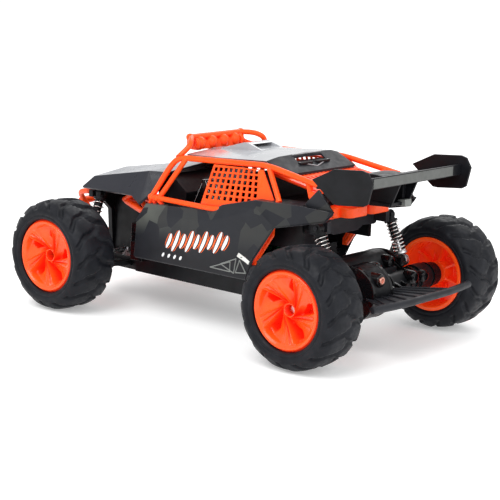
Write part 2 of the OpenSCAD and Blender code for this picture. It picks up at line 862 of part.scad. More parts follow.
module drive_motor() {
    color(steel) difference() {
        union() {
            bar_x([-24, motor_y, motor_z], 32, 11.5);
            bar_x([8, motor_y, motor_z], 2.8, 3);
        }
        bar_x([-20, motor_y, motor_z], 40, 1.05);
    }
}

// Simple involute-like tooth outline: a trapezoid on each pitch point
module gear_outline(teeth) {
    pitch_r = teeth * gear_module / 2;
    root_r = pitch_r - 1.1 * gear_module;
    tip_r = pitch_r + 0.85 * gear_module;
    half = 90 / teeth;
    polygon([
        for (i = [0 : teeth - 1], k = [[-1.2, root_r], [-0.45, tip_r], [0.45, tip_r], [1.2, root_r]])
            k[1] * [cos((4 * i + k[0]) * half), sin((4 * i + k[0]) * half)]
    ]);
}

module spur_gear() {
    color("white") translate([spur_x - 5, axle_y, axle_z]) rotate([0, 90, 0]) difference() {
        union() {
            linear_extrude(5) gear_outline(spur_teeth);
            translate([0, 0, -1.5]) cylinder(h = 8, r = 5);
        }
        translate([0, 0, -3]) cylinder(h = 12, r = shaft_r);
    }
}

module motor_pinion() {
    // Turned so that a tooth points at a gap of the axle gear
    turn = (90 - pinion_angle) % (360 / pinion_teeth);
    color([0.85, 0.7, 0.35]) union() {
        translate([spur_x - 5, motor_y, motor_z]) rotate([0, 90, 0]) rotate(turn)
            linear_extrude(5) gear_outline(pinion_teeth);
        bar_x([-19, motor_y, motor_z], 33, 1);
    }
}

module axle_shaft() {
    color(steel) bar_x([-92, axle_y, axle_z], 184, shaft_r);
}

module rear_bumper() {
    bar_z0 = 44.5;
    color(black) union() {
        tube_path([
            [-58, 151.5, bar_z0], [-31, 155.4, bar_z0], [31, 155.4, bar_z0], [58, 151.5, bar_z0]
        ], 2.65, 16);
        // Fan plate and ribs that meet the axle tube and the gear case
        difference() {
            union() {
                translate([0, 0, 40]) linear_extrude(2)
                    polygon([[-17, 118], [25, 118], [46, 153.5], [-46, 153.5]]);
                for (i = [-2 : 2])
                    rod([4 + i * 8, 118, 42.4], [i * 19, 153, 43.4], 1, 0, 6);
            }
            bar_x([-70, axle_y, axle_z], 140, 8.5);
            bar_x([8, axle_y, axle_z], 21, 19);
        }
    }
}

// ---- the nodes ---------------------------------------------------------------

stand() chassis_tub();
stand() belly_door();
stand() battery_pack();
stand() circuit_board();
stand() switch_slider();
stand() steering_servo();
stand() servo_horn();
stand() steering_rack();
stand() hinge_pins();
stand() front_tower();
stand() front_frame();
stand() rear_tower();
stand() hood();
stand() side_panel(1);  // side_panel_left
stand() side_panel(-1);  // side_panel_right
stand() cockpit();
stand() rear_deck();
stand() rear_cover();
stand() cage_side(1);  // cage_left
stand() cage_side(-1);  // cage_right
stand() cage_rear();
stand() net(1);  // net_left
stand() net(-1);  // net_right
stand() roof_panel();
stand() roof_fairing();
stand() light_bar();
stand() lamp_lenses();
stand() body_screws();
stand() wing_blade();
stand() wing_plate(1);  // wing_plate_left
stand() wing_plate(-1);  // wing_plate_right
stand() wing_pylon();
stand() front_arm(1);  // front_arm_left
stand() front_arm(-1);  // front_arm_right
stand() knuckle(1);  // knuckle_left
stand() knuckle(-1);  // knuckle_right
stand() tie_rod(1);  // tie_rod_left
stand() tie_rod(-1);  // tie_rod_right
stand() shock_body(front_shock_top, front_shock_bottom, 1);  // front_shock_body_left
stand() shock_body(front_shock_top, front_shock_bottom, -1);  // front_shock_body_right
stand() shock_rod(front_shock_top, front_shock_bottom, 1);  // front_shock_rod_left
stand() shock_rod(front_shock_top, front_shock_bottom, -1);  // front_shock_rod_right
stand() spring(front_shock_top, front_shock_bottom, 1);  // front_spring_left
stand() spring(front_shock_top, front_shock_bottom, -1);  // front_spring_right
stand() color(orange) at_wheel(1, -axle_y) rim();  // front_rim_left
stand() color(orange) at_wheel(-1, -axle_y) rim();  // front_rim_right
stand() color(black) at_wheel(1, -axle_y) tyre();  // front_tyre_left
stand() color(black) at_wheel(-1, -axle_y) tyre();  // front_tyre_right
stand() axle_housing();
stand() drive_motor();
stand() rear_bumper();
stand() motor_pinion();
stand() spur_gear();
stand() axle_shaft();
stand() for (side = [1, -1]) shock_body(rear_shock_top, rear_shock_bottom, side, false);  // rear_shock_bodies
stand() for (side = [1, -1]) shock_rod(rear_shock_top, rear_shock_bottom, side, false);  // rear_shock_rods
stand() for (side = [1, -1]) spring(rear_shock_top, rear_shock_bottom, side);  // rear_springs
stand() color(orange) for (side = [1, -1]) at_wheel(side, axle_y) rim();  // rear_rims
stand() color(black) at_wheel(1, axle_y) tyre();  // rear_tyre_left
stand() color(black) at_wheel(-1, axle_y) tyre();  // rear_tyre_right
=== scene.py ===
import json
import math

import bmesh
import bpy
from mathutils import Matrix, Vector


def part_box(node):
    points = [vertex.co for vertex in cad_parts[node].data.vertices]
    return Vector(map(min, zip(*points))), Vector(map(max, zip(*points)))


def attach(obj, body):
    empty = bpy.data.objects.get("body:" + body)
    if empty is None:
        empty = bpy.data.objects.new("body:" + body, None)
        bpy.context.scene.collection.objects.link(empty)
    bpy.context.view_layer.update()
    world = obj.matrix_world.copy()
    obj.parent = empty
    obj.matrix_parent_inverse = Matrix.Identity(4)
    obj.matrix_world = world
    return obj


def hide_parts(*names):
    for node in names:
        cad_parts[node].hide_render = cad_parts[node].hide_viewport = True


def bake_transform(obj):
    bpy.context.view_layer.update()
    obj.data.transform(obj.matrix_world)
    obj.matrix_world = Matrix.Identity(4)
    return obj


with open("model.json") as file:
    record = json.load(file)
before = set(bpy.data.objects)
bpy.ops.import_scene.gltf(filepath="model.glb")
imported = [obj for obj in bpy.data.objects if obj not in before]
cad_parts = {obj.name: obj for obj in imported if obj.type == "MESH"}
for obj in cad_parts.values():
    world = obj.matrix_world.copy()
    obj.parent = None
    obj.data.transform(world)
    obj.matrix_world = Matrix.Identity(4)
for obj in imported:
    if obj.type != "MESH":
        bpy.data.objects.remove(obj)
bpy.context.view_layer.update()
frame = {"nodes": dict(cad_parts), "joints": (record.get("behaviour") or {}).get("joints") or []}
MM = 0.001
# The point that the rear axle passes through, as the part is drawn, and LOWER takes the drawing to the floor
AXLE_Y = 113
AXLE_Z = 44
hub_low, hub_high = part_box("rear_tyre_left")
LOWER = Vector((0, 0, (hub_low.z + hub_high.z) / 2 / MM - AXLE_Z))
RIM_R = 27
# How far each face of a window net is moved in
NET_THINNING = 0.55


# ---- shapes ------------------------------------------------------------------


class Shape:
    """Points and faces in millimetres, gathered until piece() makes one mesh of them."""

    def __init__(self):
        self.points = []
        self.faces = []

    def add(self, points, faces):
        first = len(self.points)
        self.points += [Vector(p) for p in points]
        self.faces += [[first + i for i in face] for face in faces]

    def rows(self, rows, ring=True, loop=False):
        """Quads between rows of points. ring joins the ends of each row, loop the last row to the first."""
        wide = len(rows[0])
        faces = []
        for j in range(len(rows) if loop else len(rows) - 1):
            below = j * wide
            above = (j + 1) % len(rows) * wide
            for i in range(wide if ring else wide - 1):
                k = (i + 1) % wide
                faces.append([below + i, below + k, above + k, above + i])
        self.add([p for row in rows for p in row], faces)

    def mirror(self):
        """Adds the same shape again on the other side of the car."""
        self.add(
            [(-p.x, p.y, p.z) for p in self.points],
            [list(reversed(face)) for face in self.faces],
        )
        return self

    def moved(self, place):
        self.points = [place @ p for p in self.points]
        return self


def smooth_step(x):
    x = min(1.0, max(0.0, x))
    return x * x * (3 - 2 * x)


def rounded(route, bend, steps=6):
    """The route with each corner replaced by a short curve."""
    route = [Vector(p) for p in route]
    line = [route[0]]
    for before, corner, after in zip(route, route[1:], route[2:]):
        back = before - corner
        on = after - corner
        start = corner + back.normalized() * min(bend, back.length * 0.48)
        end = corner + on.normalized() * min(bend, on.length * 0.48)
        for i in range(steps + 1):
            t = i / steps
            line.append(start * (1 - t) ** 2 + corner * 2 * t * (1 - t) + end * t * t)
    line.append(route[-1])
    return line


def curve_through(points, steps):
    """A smooth line through points of any size, with steps stretches between two of them."""
    points = [Vector(p) for p in points]
    padded = [points[0] * 2 - points[1], *points, points[-1] * 2 - points[-2]]
    line = []
    for a, b, c, d in zip(padded, padded[1:], padded[2:], padded[3:]):
        for i in range(steps):
            t = i / steps
            line.append(
                0.5 * (2 * b + (c - a) * t + (2 * a - 5 * b + 4 * c - d) * t**2
                       + (3 * b - a - 3 * c + d) * t**3)
            )
    return [*line, points[-1]]


def sweep(shape, line, radius, sides=14, domed=True):
    """A round bar along a line of points. radius is a number or a function of the share of the way."""
    tangents = [(b - a).normalized() for a, b in zip(line, line[1:])]
    tangents = [tangents[0], *[(a + b).normalized() for a, b in zip(tangents, tangents[1:])], tangents[-1]]
    across = tangents[0].orthogonal().normalized()
    rows = []
    for i, (p, t) in enumerate(zip(line, tangents)):
        across = (across - t * across.dot(t)).normalized()
        up = t.cross(across)
        r = radius(i / (len(line) - 1)) if callable(radius) else radius
        rows.append((p, t, across, up, r))

    def ring(p, across, up, r):
        angles = [2 * math.pi * k / sides for k in range(sides)]
        return [p + (across * math.cos(a) + up * math.sin(a)) * r for a in angles]

    rings = [ring(p, a, u, r) for p, t, a, u, r in rows]
    if domed:
        for index, sign in ((0, -1), (-1, 1)):
            p, t, a, u, r = rows[index]
            steps = ((0.22, 0.86), (0.34, 0.55))
            caps = [ring(p + t * sign * r * out, a, u, r * wide) for out, wide in steps]
            rings = [*reversed(caps), *rings] if sign < 0 else [*rings, *caps]
    first = len(shape.points)
    shape.rows(rings)
    last = len(shape.points) - sides
    shape.faces.append([first + k for k in reversed(range(sides))])
    shape.faces.append([last + k for k in range(sides)])


def tube(shape, route, radius, bend=5, sides=14):
    sweep(shape, rounded(route, bend), radius, sides)


def lathe(shape, profile, place, steps=48, closed=False):
    """Turns a profile of [radius, distance along the axis]; place puts the local Z axis in the car."""
    rows = []
    for r, along in profile:
        angles = [2 * math.pi * k / steps for k in range(steps)]
        rows.append([place @ Vector((r * math.cos(a), r * math.sin(a), along)) for a in angles])
    shape.rows(rows, loop=closed)


def prism(shape, outline, place, depth):
    """A flat outline made depth deep along the local Z."""
    n = len(outline)
    points = [place @ Vector((x, y, z)) for z in (0, depth) for x, y in outline]
    faces = [list(reversed(range(n))), [n + i for i in range(n)]]
    faces += [[i, (i + 1) % n, n + (i + 1) % n, n + i] for i in range(n)]
    shape.add(points, faces)


def along_x(at, turn=0):
    """Place whose local Z runs along +X and whose local X runs along +Y."""
    axes = Matrix(((0, 0, 1), (1, 0, 0), (0, 1, 0))).to_4x4()
    return Matrix.Translation(Vector(at)) @ axes @ Matrix.Rotation(turn, 4, "Z")


def along_y(at):
    """Place whose local Z runs along +Y and whose local X runs along +X."""
    return Matrix.Translation(Vector(at)) @ Matrix(((1, 0, 0), (0, 0, 1), (0, -1, 0))).to_4x4()


def wall_along_y(at):
    """Place for an outline drawn in X and Z, whose depth runs along +Y."""
    return along_y(at) @ Matrix.Scale(-1, 4, (0, 1, 0))


def upright(at):
    """Place for an outline drawn in X and Y, whose depth runs up."""
    return Matrix.Translation(Vector(at))


def button(shape, place, radius, height, hole=0.0, edge=0.4):
    """A round boss or screw head with a rounded rim and, if asked, a recess."""
    profile = [[0.001, height], [radius - edge, height], [radius - edge * 0.3, height - edge * 0.3],
               [radius, height - edge], [radius, 0], [0.001, 0]]
    if hole:
        profile[0:1] = [[0.001, height - hole], [radius * 0.45, height - hole], [radius * 0.5, height - 0.1],
                        [radius * 0.58, height]]
    lathe(shape, profile, place, 32)


def finish_mesh(obj, bevel, angle):
    """Rounds the sharp edges and smooths the rest."""
    for polygon in obj.data.polygons:
        polygon.use_smooth = True
    if bevel:
        rounding = obj.modifiers.new("rounding", "BEVEL")
        rounding.width = bevel * MM
        rounding.segments = 2
        rounding.limit_method = "ANGLE"
        rounding.angle_limit = math.radians(angle)
        rounding.harden_normals = False
    shading = obj.modifiers.new("shading", "WEIGHTED_NORMAL")
    shading.keep_sharp = True
    shading.weight = 80


def piece(shape, name, look, body, nodes=(), bevel=0.0, angle=40):
    """Makes one object of a shape, in place of the named nodes."""
    mesh = bpy.data.meshes.new(name)
    mesh.from_pydata([(p + LOWER) * MM for p in shape.points], [], shape.faces)
    edit = bmesh.new()
    edit.from_mesh(mesh)
    bmesh.ops.remove_doubles(edit, verts=edit.verts, dist=0.004 * MM)
    bmesh.ops.recalc_face_normals(edit, faces=edit.faces)
    if not bevel:
        for edge in edit.edges:
            edge.smooth = not edge.is_manifold or edge.calc_face_angle(0) < math.radians(angle)
    edit.to_mesh(mesh)
    edit.free()
    mesh.materials.append(look)
    obj = bpy.data.objects.new(name, mesh)
    bpy.context.scene.collection.objects.link(obj)
    finish_mesh(obj, bevel, angle)
    if body:
        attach(obj, body)
    if nodes:
        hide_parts(*nodes)
    return obj


def finish_node(node, look, bevel=0.25, angle=50):
    """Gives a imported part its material, rounded edges and clean shading."""
    obj = frame["nodes"][node]
    obj.data.materials.clear()
    obj.data.materials.append(look)
    weld = obj.modifiers.new("weld", "WELD")
    weld.merge_threshold = 0.002 * MM
    flat = obj.modifiers.new("flat", "DECIMATE")
    flat.decimate_type = "DISSOLVE"
    flat.angle_limit = math.radians(0.5)
    finish_mesh(obj, bevel, angle)


def box(node):
    """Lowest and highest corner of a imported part, in millimetres at the drawing's heights."""
    low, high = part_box(node)
    return low / MM - LOWER, high / MM - LOWER


# ---- materials ---------------------------------------------------------------


class Look:
    """A Principled material built up from noise, patches, wear, painted pocket shade and bump."""

    def __init__(self, name, colour, roughness, metallic=0.0, coat=0.0):
        self.material = bpy.data.materials.new(name)
        self.material.use_nodes = True
        self.tree = self.material.node_tree
        self.shader = self.tree.nodes["Principled BSDF"]
        self.shader.inputs["Base Color"].default_value = (*colour, 1)
        self.shader.inputs["Roughness"].default_value = roughness
        self.shader.inputs["Metallic"].default_value = metallic
        self.shader.inputs["Coat Weight"].default_value = coat
        self.shader.inputs["Coat Roughness"].default_value = 0.12
        self.shader.inputs["Specular IOR Level"].default_value = 0.5 if metallic else 0.17
        self.colour = (*colour, 1)
        self.normal = None
        self.position = self.node("ShaderNodeTexCoord").outputs["Object"]

    def node(self, kind, **settings):
        made = self.tree.nodes.new(kind)
        for key, value in settings.items():
            setattr(made, key, value)
        return made

    def link(self, source, target):
        self.tree.links.new(source, target)

    def noise(self, size, detail=3.0, stretch=None):
        """Soft noise whose patches are about size millimetres wide."""
        made = self.node("ShaderNodeTexNoise")
        made.inputs["Scale"].default_value = 1 / (size * MM)
        made.inputs["Detail"].default_value = detail
        place = self.position
        if stretch:
            mapping = self.node("ShaderNodeMapping")
            mapping.inputs["Scale"].default_value = stretch
            self.link(place, mapping.inputs["Vector"])
            place = mapping.outputs["Vector"]
        self.link(place, made.inputs["Vector"])
        return made.outputs["Fac"]

    def range(self, value, low, high, new_low=0.0, new_high=1.0):
        made = self.node("ShaderNodeMapRange", interpolation_type="SMOOTHSTEP")
        for key, number in (("From Min", low), ("From Max", high), ("To Min", new_low), ("To Max", new_high)):
            made.inputs[key].default_value = number
        self.link(value, made.inputs["Value"])
        return made.outputs["Result"]

    def times(self, a, b):
        made = self.node("ShaderNodeMath", operation="MULTIPLY")
        self.link(a, made.inputs[0])
        self.link(b, made.inputs[1])
        return made.outputs[0]

    def part_of_position(self, axis):
        split = self.node("ShaderNodeSeparateXYZ")
        self.link(self.position, split.inputs[0])
        return split.outputs[axis]

    def paint(self, share, colour):
        """Mixes another colour over the present one by a share from 0 to 1."""
        mix = self.node("ShaderNodeMix", data_type="RGBA")
        self.link(share, mix.inputs[0])
        if isinstance(self.colour, tuple):
            mix.inputs[6].default_value = self.colour
        else:
            self.link(self.colour, mix.inputs[6])
        mix.inputs[7].default_value = (*colour, 1)
        self.colour = mix.outputs[2]
        self.link(self.colour, self.shader.inputs["Base Color"])
        return self

    def patches(self, colour, size, strength, detail=3.0):
        return self.paint(self.range(self.noise(size, detail), 0.35, 0.7, 0, strength), colour)

    def worn_edges(self, colour, strength):
        """Paler edges, found where a rounded normal differs from the surface's own, broken up by noise."""
        rounded_off = self.node("ShaderNodeBevel", samples=4)
        rounded_off.inputs["Radius"].default_value = 0.5 * MM
        agree = self.node("ShaderNodeVectorMath", operation="DOT_PRODUCT")
        self.link(rounded_off.outputs["Normal"], agree.inputs[0])
        self.link(self.node("ShaderNodeNewGeometry").outputs["Normal"], agree.inputs[1])
        share = self.range(agree.outputs["Value"], 0.985, 0.86, 0, strength)
        return self.paint(self.times(share, self.range(self.noise(2.5), 0.3, 0.7)), colour)

    def deep(self, colour, distance, strength=1.0):
        """Painted shade and bounce light: a deeper colour painted into the pockets, where light bounces
        between the walls.
        """
        open_sky = self.node("ShaderNodeAmbientOcclusion", samples=8)
        open_sky.inputs["Distance"].default_value = distance * MM
        return self.paint(self.range(open_sky.outputs["AO"], 0.85, 0.25, 0, strength), colour)

    def rough(self, low, high, size=6.0, detail=4.0):
        self.link(self.range(self.noise(size, detail), 0.3, 0.7, low, high), self.shader.inputs["Roughness"])
        return self

    def bump(self, height, depth, strength=1.0):
        """Adds relief, depth in millimetres."""
        made = self.node("ShaderNodeBump")
        made.inputs["Distance"].default_value = depth * MM
        made.inputs["Strength"].default_value = strength
        self.link(height, made.inputs["Height"])
        if self.normal:
            self.link(self.normal, made.inputs["Normal"])
        self.normal = made.outputs["Normal"]
        self.link(self.normal, self.shader.inputs["Normal"])
        return self

    def grain(self, size, depth, stretch=None):
        return self.bump(self.noise(size, 2.0, stretch), depth)


def moulded_orange(name, coat):
    look = Look(name, (0.92, 0.078, 0.006), 0.3, coat=coat)
    look.patches((0.97, 0.100, 0.010), 14, 0.6)
    # Painted shade: deeper red painted into the pockets, standing in for light bouncing between the walls
    look.deep((0.98, 0.016, 0.006), 8, 0.95)
    look.worn_edges((1.0, 0.17, 0.035), 0.5)
    # Painted light: a faint orange glow that brightens the plastic where it lies in shade, though it is no
    # lamp
    look.shader.inputs["Emission Color"].default_value = (0.9, 0.05, 0.01, 1)
    look.shader.inputs["Emission Strength"].default_value = 0.10
    look.rough(0.24, 0.4, 5)
    return look.grain(0.5, 0.015).grain(9, 0.05).material


def moulded_black():
    look = Look("moulded_black_plastic", (0.0045, 0.0048, 0.006), 0.3)
    look.patches((0.009, 0.0095, 0.012), 11, 0.7)
    look.worn_edges((0.06, 0.06, 0.07), 0.55)
    look.rough(0.28, 0.46, 4)
    return look.grain(0.45, 0.02).grain(7, 0.05).material


def moulded_grey():
    look = Look("moulded_grey_plastic", (0.013, 0.0135, 0.017), 0.38)
    look.patches((0.022, 0.023, 0.028), 18, 0.7)
    look.worn_edges((0.16, 0.16, 0.18), 0.55)
    look.rough(0.36, 0.5, 5)
    return look.grain(0.4, 0.02).grain(12, 0.06).material


def rubber():
    look = Look("tyre_rubber_compound", (0.006, 0.0068, 0.0095), 0.5)
    look.patches((0.012, 0.013, 0.017), 9, 0.8, 5.0)
    look.worn_edges((0.045, 0.047, 0.055), 0.6)
    look.rough(0.42, 0.6, 3)
    return look.grain(0.35, 0.03).grain(3, 0.05).material


def printed_shell():
    """Dark body shell with angular camouflage that fades towards the bottom and the back."""
    look = Look("printed_shell_paint", (0.017, 0.018, 0.022), 0.3)
    cells = look.node("ShaderNodeTexVoronoi")
    cells.inputs["Scale"].default_value = 1 / (15 * MM)
    cells.inputs["Randomness"].default_value = 0.9
    look.link(look.position, cells.inputs["Vector"])
    split = look.node("ShaderNodeSeparateColor")
    look.link(cells.outputs["Color"], split.inputs[0])
    front = look.range(look.part_of_position("Y"), 0.0, -0.05)
    high = look.range(look.part_of_position("Z"), 0.058, 0.078)
    area = look.times(front, high)
    look.paint(look.times(look.range(split.outputs[0], 0.60, 0.62), area), (0.085, 0.090, 0.080))
    look.paint(look.times(look.range(split.outputs[1], 0.66, 0.68), high), (0.036, 0.037, 0.036))
    look.paint(look.range(look.part_of_position("Z"), 0.070, 0.050, 0, 0.75), (0.010, 0.010, 0.012))
    look.patches((0.026, 0.027, 0.033), 22, 0.35)
    look.worn_edges((0.22, 0.22, 0.24), 0.5)
    look.rough(0.28, 0.42, 6)
    return look.grain(0.5, 0.012).grain(20, 0.08).material


def hood_paint():
    """Grey sides with a silver top that fades in over the crest."""
    look = Look("hood_paint", (0.020, 0.021, 0.028), 0.34)
    normal = look.node("ShaderNodeSeparateXYZ")
    look.link(look.node("ShaderNodeNewGeometry").outputs["True Normal"], normal.inputs[0])
    look.paint(look.range(normal.outputs["Z"], 0.86, 0.93), (0.40, 0.41, 0.43))
    look.patches((0.028, 0.029, 0.037), 25, 0.3)
    look.worn_edges((0.25, 0.25, 0.27), 0.4)
    look.rough(0.26, 0.42, 7)
    return look.grain(0.5, 0.012).material


def roof_gloss():
    look = Look("roof_silver_gloss", (0.46, 0.47, 0.49), 0.2, coat=0.7)
    look.patches((0.34, 0.35, 0.37), 40, 0.8)
    look.worn_edges((0.7, 0.7, 0.72), 0.4)
    look.rough(0.16, 0.3, 9)
    return look.grain(15, 0.05).grain(0.6, 0.008).material


def plated(name, colour, low, high):
    look = Look(name, colour, 0.3, metallic=1.0)
    look.patches(tuple(c * 0.6 for c in colour), 4, 0.5)
    look.rough(low, high, 1.5)
    return look.grain(0.4, 0.01).grain(3, 0.01, (1, 8, 8)).material


def clear_lens():
    look = Look("lamp_lens_clear", (0.9, 0.93, 0.96), 0.08, coat=0.5)
    look.shader.inputs["Transmission Weight"].default_value = 0.75
    look.shader.inputs["IOR"].default_value = 1.49
    look.patches((0.75, 0.8, 0.85), 3, 0.4)
    look.rough(0.05, 0.14, 2)
    stripes = look.node("ShaderNodeTexWave", bands_direction="X")
    stripes.inputs["Scale"].default_value = 260
    look.link(look.position, stripes.inputs["Vector"])
    return look.bump(stripes.outputs["Fac"], 0.15).material


def plain_finish(name, colour, low, high, shade=0.7, coat=0.0):
    """A moulded, coated or printed surface with soft variation, worn edges and a fine grain."""
    look = Look(name, colour, low, coat=coat)
    look.patches(tuple(c * shade for c in colour), 6, 0.6)
    look.worn_edges(tuple(min(1.0, c * 1.3 + 0.03) for c in colour), 0.4)
    look.rough(low, high, 3)
    return look.grain(0.4, 0.015).material


glossy_black = plain_finish("glossy_black_plastic", (0.004, 0.004, 0.005), 0.16, 0.3, 0.8, 0.2)
orange = moulded_orange("moulded_orange_plastic", 0.12)
rim_orange = moulded_orange("rim_orange_plastic", 0.45)
black = moulded_black()
grey = moulded_grey()
tyre_rubber = rubber()
shell = printed_shell()
hood_look = hood_paint()
silver = roof_gloss()
steel = plated("plated_steel", (0.62, 0.62, 0.64), 0.22, 0.42)
chrome = plated("spring_chrome", (0.80, 0.78, 0.76), 0.12, 0.26)
brass = plated("turned_brass", (0.75, 0.52, 0.22), 0.25, 0.4)
copper = plated("copper_screw", (0.85, 0.42, 0.33), 0.25, 0.4)
lens = clear_lens()
nylon = plain_finish("white_nylon", (0.78, 0.78, 0.74), 0.4, 0.55)
wrap = plain_finish("blue_cell_wrap", (0.03, 0.10, 0.42), 0.2, 0.34, coat=0.4)
solder_mask = plain_finish("green_solder_mask", (0.01, 0.12, 0.05), 0.25, 0.4, coat=0.3)
ink_white = plain_finish("printed_white", (0.82, 0.83, 0.84), 0.25, 0.38, 0.92)
ink_orange = plain_finish("printed_orange", (0.90, 0.14, 0.03), 0.25, 0.38, 0.9)
ink_black = plain_finish("printed_black", (0.006, 0.006, 0.007), 0.25, 0.38, 0.8)
strip_grey = plain_finish("wing_strip_grey", (0.115, 0.12, 0.115), 0.42, 0.6, 0.85)
pale_line = plain_finish("pale_edge_line", (0.42, 0.43, 0.45), 0.2, 0.35, 0.85)
olive = plain_finish("smoked_grey_plastic", (0.20, 0.21, 0.20), 0.3, 0.45, 0.85)


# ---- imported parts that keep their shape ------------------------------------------

NODE_LOOKS = {
    "chassis_tub": (black, 0.35),
    "belly_door": (grey, 0.2),
    "battery_pack": (wrap, 0.3),
    "circuit_board": (solder_mask, 0.1),
    "switch_slider": (black, 0.15),
    "steering_servo": (grey, 0.3),
    "servo_horn": (orange, 0.15),
    "steering_rack": (grey, 0.15),
    "hinge_pins": (steel, 0.2),
    "front_tower": (black, 0.3),
    "rear_tower": (grey, 0.3),
    "hood": (hood_look, 0.5),
    "side_panel_left": (shell, 0.4),
    "side_panel_right": (shell, 0.4),
    "cockpit": (black, 0.4),
    "rear_deck": (black, 0.4),
    "cage_rear": (orange, 0.0),
    "net_left": (orange, 0.0),
    "net_right": (orange, 0.0),
    "roof_panel": (silver, 0.5),
    "roof_fairing": (grey, 0.3),
    "lamp_lenses": (lens, 0.3),
    "body_screws": (steel, 0.25),
    "wing_blade": (black, 0.4),
    "wing_plate_left": (black, 0.4),
    "wing_plate_right": (black, 0.4),
    "wing_pylon": (black, 0.3),
    "front_arm_left": (black, 0.3),
    "front_arm_right": (black, 0.3),
    "knuckle_left": (black, 0.2),
    "knuckle_right": (black, 0.2),
    "tie_rod_left": (steel, 0.15),
    "tie_rod_right": (steel, 0.15),
    "front_shock_body_left": (black, 0.2),
    "front_shock_body_right": (black, 0.2),
    "front_shock_rod_left": (steel, 0.2),
    "front_shock_rod_right": (steel, 0.2),
    "axle_housing": (black, 0.35),
    "drive_motor": (steel, 0.3),
    "motor_pinion": (brass, 0.05),
    "spur_gear": (nylon, 0.05),
    "axle_shaft": (steel, 0.3),
    "rear_shock_bodies": (black, 0.2),
    "rear_shock_rods": (steel, 0.2),
}
for node, (look, bevel) in NODE_LOOKS.items():
    finish_node(node, look, bevel)


def slim_net(node):
    """Thins the bars of a window net evenly, which opens its holes."""
    thin = frame["nodes"][node].modifiers.new("slim_bars", "DISPLACE")
    thin.direction = "NORMAL"
    thin.mid_level = 0
    thin.strength = -NET_THINNING * MM


slim_net("net_left")
slim_net("net_right")


# ---- wheels ------------------------------------------------------------------

LUGS = 16
SPOKES = 5


def wheel_place(tyre_node, side):
    """Place of a wheel: the local Z axis runs outwards from the middle of the tyre."""
    low, high = box(tyre_node)
    return Matrix.Translation((low + high) / 2) @ Matrix.Rotation(side * math.pi / 2, 4, "Y")


def tread_height(turn, across):
    """How far the tread stands up, from 0 in a groove to 1 on a lug. turn counts lugs round the tyre."""
    out = abs(across)
    swoop = 0.85 * out**1.4 + 0.10 * math.sin(out * 7)
    f = (turn + swoop + (0.5 if across > 0 else 0)) % 1
    groove = 0.13 + 0.10 * out
    lug = smooth_step((f - groove) / 0.07) * smooth_step((1 - f) / 0.05)
    slope = 1 - 0.38 * f
    middle = smooth_step((abs(across - 0.10 * math.sin(2 * math.pi * turn)) - 0.035) / 0.05)
    return lug * slope * (0.35 + 0.65 * middle)


def make_tyre(tyre_node, body, side):
    """One tyre: its section is turned about the axle, and the grooves between the lugs are cut inwards."""
    low, high = box(tyre_node)
    radius = (high.z - low.z) / 2
    half = (high.x - low.x) / 2
    rim = RIM_R
    bead = [(rim + 0.1, half - 2.2), (rim + 1.2, half - 0.8), (rim + 2.5, half - 0.45),
            (rim + 3.3, half - 0.75), (rim + 4.8, half - 0.05), (rim + 8, half - 0.5)]
    shoulder = [(radius - 3.4, half - 2.4), (radius - 1.2, half - 5.4), (radius - 0.3, half - 9.8),
                (radius, half - 15)]
    outline = bead + shoulder
    section = [Vector((r, w, 0)) for r, w in outline] + [Vector((r, -w, 0)) for r, w in reversed(outline)]
    line = curve_through(section, 4)
    columns = LUGS * 20
    outside = []
    for i in range(columns):
        turn = i / columns * LUGS
        angle = 2 * math.pi * i / columns
        column = []
        for k, p in enumerate(line):
            before = line[max(0, k - 1)]
            after = line[min(len(line) - 1, k + 1)]
            inwards = Vector((-(after - before).y, (after - before).x, 0)).normalized()
            if inwards.x > 0:
                inwards = -inwards
            tread = smooth_step((p.x - (radius - 7.5)) / 3.0)
            depth = 2.1 * tread * (1 - tread_height(turn, p.y / half))
            q = p + inwards * depth
            column.append(Vector((q.x * math.cos(angle), q.x * math.sin(angle), q.y)))
        hollow = [(rim + 0.1, -half + 5), (rim + 6, -half + 4.5), (radius - 4.5, 0), (rim + 6, half - 4.5),
                  (rim + 0.1, half - 5)]
        column += [Vector((r * math.cos(angle), r * math.sin(angle), w)) for r, w in hollow]
        outside.append(column)
    shape = Shape()
    shape.rows(outside, loop=True)
    shape.moved(wheel_place(tyre_node, side))
    return piece(shape, tyre_node + "_carcass", tyre_rubber, body, [tyre_node], angle=50)


def rim_face(r, share, rim):
    """Distance of the rim's outer face from the middle plane. share runs from 0 to 1 over one spoke."""
    if r > rim - 3.6:
        lip = (r - (rim - 3.6)) / 3.6
        return 16.6 + 1.5 * math.sin(math.pi * min(1, lip * 1.15)) ** 0.7 - 0.8 * lip
    dish = 12.6 + 4.0 * ((r - 4) / (rim - 7.6)) ** 1.6
    spokes = smooth_step((r - 4.5) / 1.4) * smooth_step((rim - 4.2 - r) / 1.2)
    twin = max(math.exp(-((share - c) / 0.026) ** 2) for c in (0.05, 0.215, 0.93))
    ridge = 1.5 * twin - 0.8 * smooth_step(share / 0.05) * smooth_step((0.215 - share) / 0.05)
    past = smooth_step((share - 0.235) / 0.05)
    ramp = -4.4 * past * (1 - smooth_step((share - 0.30) / 0.70)) ** 0.8
    pocket_end = 0.60 - 0.20 * abs(r - 15) / 7
    inside = smooth_step((r - 9.0) / 1.6) * smooth_step((rim - 6.4 - r) / 1.6)
    pocket = -8.0 * past * smooth_step((pocket_end - share) / 0.06) * inside
    return dish + spokes * (ridge + ramp + pocket)


